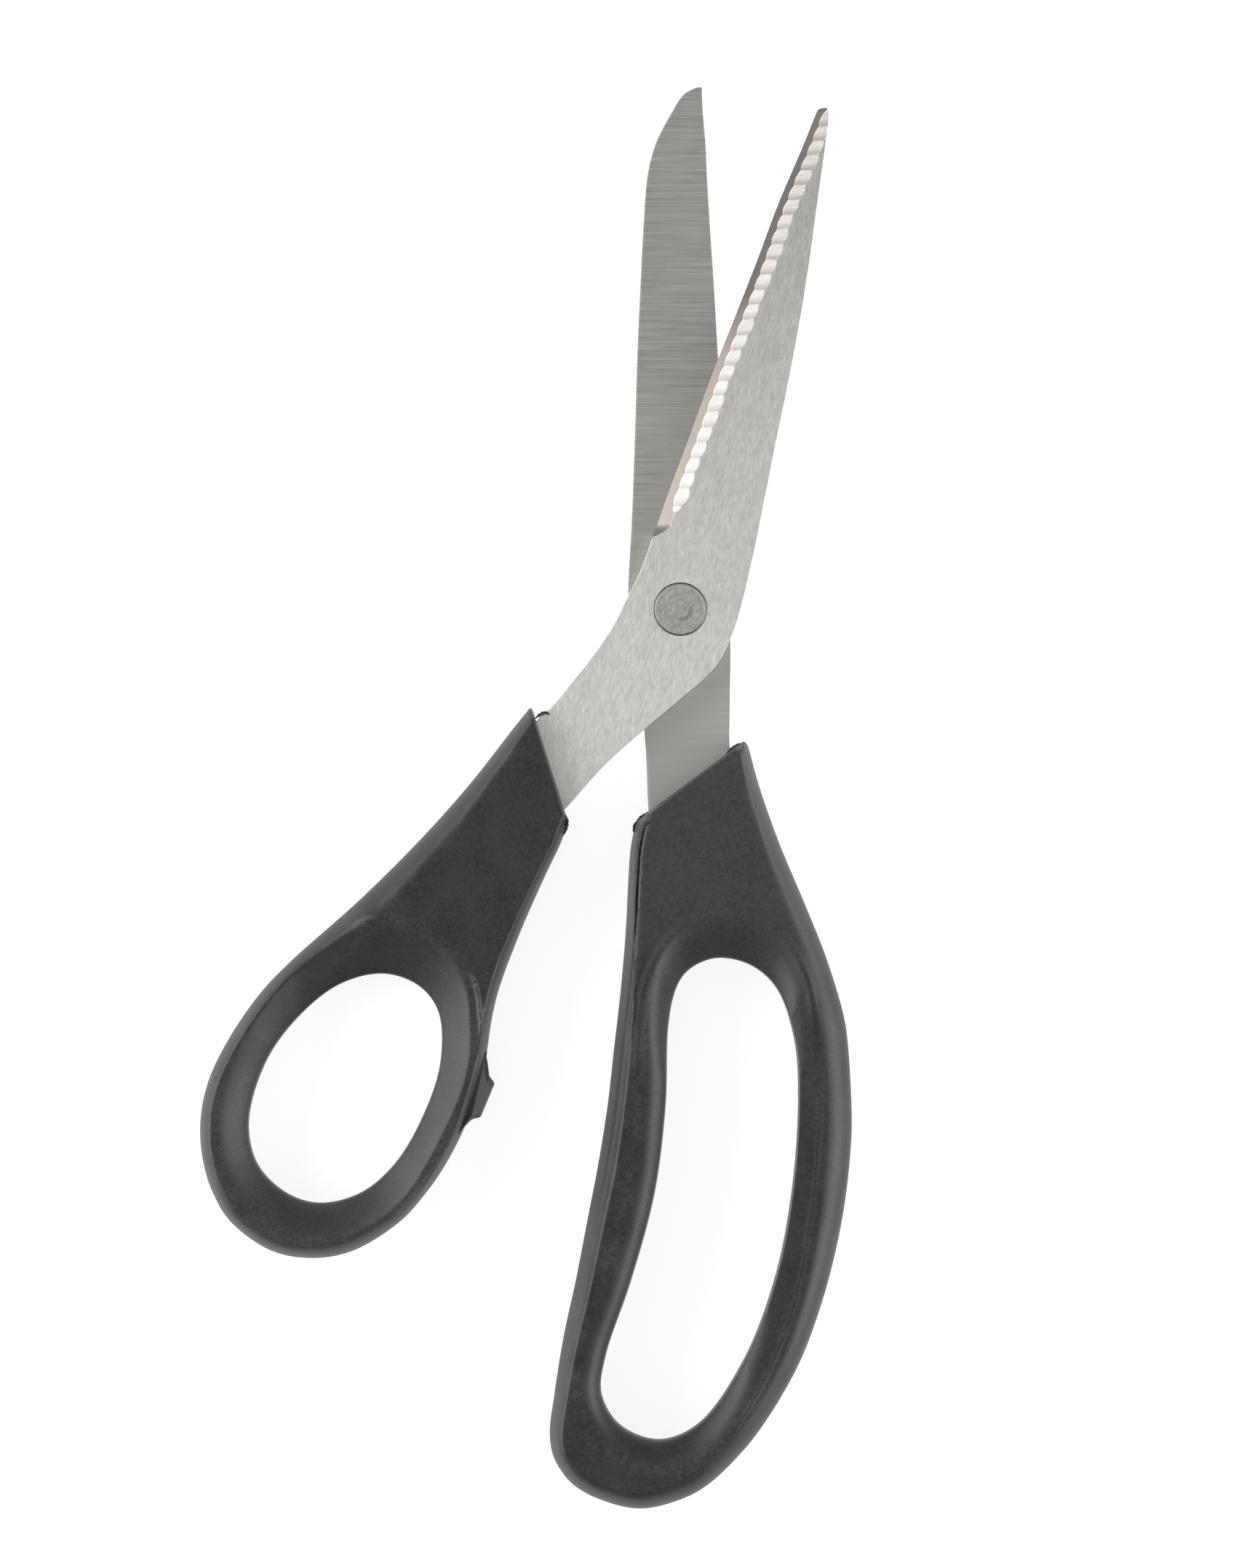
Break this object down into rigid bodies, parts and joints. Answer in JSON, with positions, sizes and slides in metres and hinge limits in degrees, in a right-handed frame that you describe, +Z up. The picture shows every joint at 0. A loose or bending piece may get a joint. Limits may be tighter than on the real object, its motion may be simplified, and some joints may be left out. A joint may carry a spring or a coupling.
{
  "type": "pinking shears",
  "caption": "Hand shears for cloth: a scalloped blade and a flat ground blade cross at a rivet, with a round thumb loop and a long finger loop in black plastic.",
  "frame": {"origin": "centre of the footprint, on the surface the shears lie on", "axes": "+Y towards the blade tips, +X from the thumb loop towards the finger loop, +Z up out of the front blade"},
  "size_m": [0.0984, 0.215, 0.012],
  "materials": {
    "bright_steel": "satin, brushed along the blade",
    "ground_steel": "ground across the blade in fine lines",
    "rivet_steel": "spun, with faint rings",
    "spring_steel": "dark satin",
    "black_nylon": "matte moulded, lightly grained",
    "white_nylon": "smooth matte"
  },
  "bodies": {
    "finger_half": {"rear_blade": "ground_steel", "finger_handle": "black_nylon", "pivot_rivet": "rivet_steel", "rivet_collar": "rivet_steel", "spring_washer": "spring_steel", "glide_washer": "white_nylon"},
    "thumb_half": {"front_blade": "bright_steel", "thumb_handle": "black_nylon"}
  },
  "joints": [
    {"name": "pivot", "type": "hinge", "parent": "finger_half", "child": "thumb_half", "pos_m": [0.02335, 0.02854, 0.006], "axis": [0, 0, -1], "range_deg": [-12.9, 105]}
  ]
}
